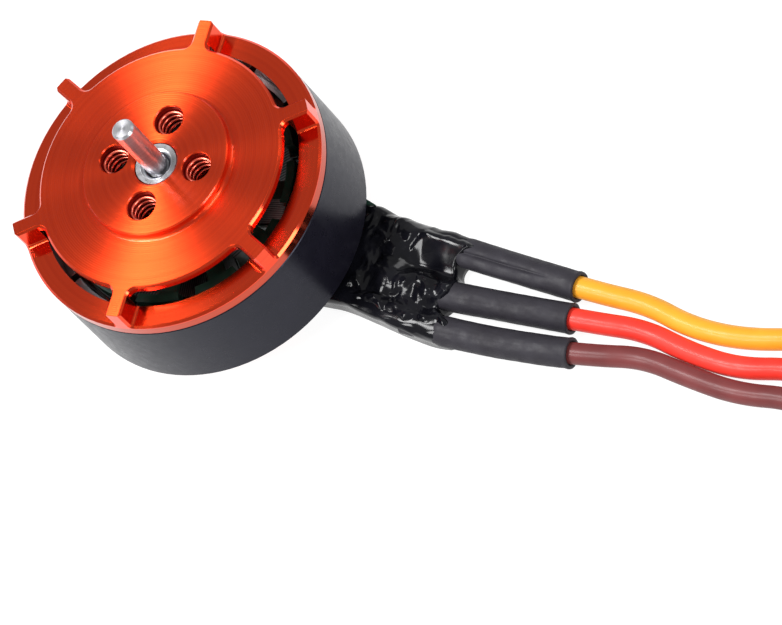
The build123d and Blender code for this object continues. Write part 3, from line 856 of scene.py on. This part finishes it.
wire_radius = 0.17 * UNIT
wire_sides = 8
coil_layers = 4
tooth_half_width = 0.87 * UNIT
tooth_low, tooth_high = 4.48 * UNIT, 9.82 * UNIT
coil_start, coil_stop = 5.45 * UNIT, 9.5 * UNIT
first_tooth = math.radians(15)


def coil_room(radius):
    """Half the width that a coil may fill at a radius."""
    return (1.28 + (radius - coil_start) / (coil_stop - coil_start) * 0.78) * UNIT


def coil_skin(turn):
    """One tooth's coil: layers of round wire wound outwards and back."""
    wire_step = 2.06 * wire_radius
    path = []
    for layer in range(coil_layers):
        reach = (layer + 0.55) * 1.85 * wire_radius
        half = tooth_half_width + reach
        room = int((coil_stop - coil_start) / wire_step)
        radii = [coil_start + wire_radius + k * wire_step for k in range(room)]
        radii = [r for r in radii if coil_room(r) - wire_radius >= half - 0.02 * UNIT]
        if layer % 2:
            radii = radii[::-1]
        for radius, following in zip(radii, radii[1:] + radii[-1:]):
            corner = 0.35 * half
            low, high = tooth_low - reach, tooth_high + reach
            loop = [
                (-half, low + corner), (-half, high - corner), (-half + corner, high), (half - corner, high),
                (half, high - corner), (half, low + corner), (half - corner, low), (-half + corner, low),
            ]
            for k, (y, z) in enumerate(loop):
                share = max(0.0, (k - 5) / 3)
                path.append(Vector((radius + (following - radius) * share, y, z)))
    rotation = Matrix.Rotation(turn, 3, "Z")
    line = Line([rotation @ p for p in path])
    points = []
    for place, (_, side, up) in zip(line.points, line.frames):
        for k in range(wire_sides):
            angle = 2 * math.pi * k / wire_sides
            points.append(place + (side * math.cos(angle) + up * math.sin(angle)) * wire_radius)
    faces = grid_faces(len(line.points), wire_sides)
    faces.append(tuple(range(wire_sides))[::-1])
    faces.append(tuple(len(points) - wire_sides + k for k in range(wire_sides)))
    return points, faces


for phase, teeth in (("a", (0, 1)), ("b", (2, 3)), ("c", (4, 5))):
    turns = [first_tooth + math.radians(30 * tooth + 180 * half) for tooth in teeth for half in (0, 1)]
    coils = mesh_piece(f"phase_{phase}_windings", *joined(coil_skin(turn) for turn in turns))
    finish_piece(coils, "stator", "copper_wire")
    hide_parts(f"phase_{phase}_coils")

# ================= CAD nodes that show as they are =================

node_slots = {
    "end_bell": "anodised_aluminium",
    "rotor_can": "black_steel",
    "magnets": "plated_magnet",
    "shaft": "ground_steel",
    "shaft_bush": "bush_steel",
    "upper_shim": "spring_steel",
    "lower_shim": "spring_steel",
    "retaining_clip": "spring_steel",
    "mount_base": "base_aluminium",
    "stator_core": "lamination_steel",
    "lower_insulator": "insulator_green",
    "upper_insulator": "insulator_green",
}
for place in ("lower", "upper"):
    for part in ("inner_race", "outer_race", "shields", "balls"):
        node_slots[f"{place}_bearing_{part}"] = "bearing_steel"
    node_slots[f"{place}_bearing_cage"] = "cage_brass"
for colour in lead_routes:
    node_slots[f"{colour}_splice"] = "solder"
for name, slot in node_slots.items():
    nodes[name].data.materials.clear()
    nodes[name].data.materials.append(materials[slot])

# ================= floor and light =================

floor_half = 3.0
floor_corners = [(floor_half * x, floor_half * y, 0) for x, y in ((-1, -1), (1, -1), (1, 1), (-1, 1))]
floor = mesh_piece("floor", floor_corners, [(0, 1, 2, 3)])
floor_paint = Shader("floor_paint", (0.20, 0.20, 0.20), 0.7, 0.0, Specular_IOR_Level=0.1, Emission_Strength=0.9)
floor_paint.bsdf.inputs["Emission Color"].default_value = (1.0, 1.0, 1.0, 1.0)
floor_paint.vary("Base Color", floor_paint.noise(3.0, 1.0), (0.19, 0.19, 0.19), (0.21, 0.21, 0.21))
floor.data.materials.append(floor_paint.material)

world = bpy.data.worlds.new("world")
bpy.context.scene.world = world
world.use_nodes = True
world.node_tree.nodes["Background"].inputs[0].default_value = (1.0, 1.0, 1.0, 1.0)
world.node_tree.nodes["Background"].inputs[1].default_value = 0.44


light_aim = Vector((14, 0, 6)) * UNIT


def area_light(name, azimuth, elevation, distance, size, power):
    """A square light aimed at the motor. Its place and size are those for the drawn motor, in metres."""
    data = bpy.data.lights.new(name, "AREA")
    data.shape = "SQUARE"
    data.size = size * REAL_SIZE
    data.energy = power * REAL_SIZE**2
    light = bpy.data.objects.new(name, data)
    bpy.context.scene.collection.objects.link(light)
    a, e = math.radians(azimuth), math.radians(elevation)
    towards = Vector((math.cos(a) * math.cos(e), math.sin(a) * math.cos(e), math.sin(e)))
    light.location = light_aim + distance * REAL_SIZE * towards
    light.rotation_mode = "QUATERNION"
    light.rotation_quaternion = (light_aim - light.location).to_track_quat("-Z", "Y")


area_light("key_light", 198.3, 63.4, 0.564, 0.18, 2.6)
area_light("fill_light", 60, 40, 0.7, 0.20, 0.6)
area_light("edge_light", 354, 34, 0.6, 0.22, 1.6)
area_light("side_light", 241.6, 46.8, 0.6, 0.18, 1.8)

bpy.context.scene.view_settings.view_transform = "Standard"
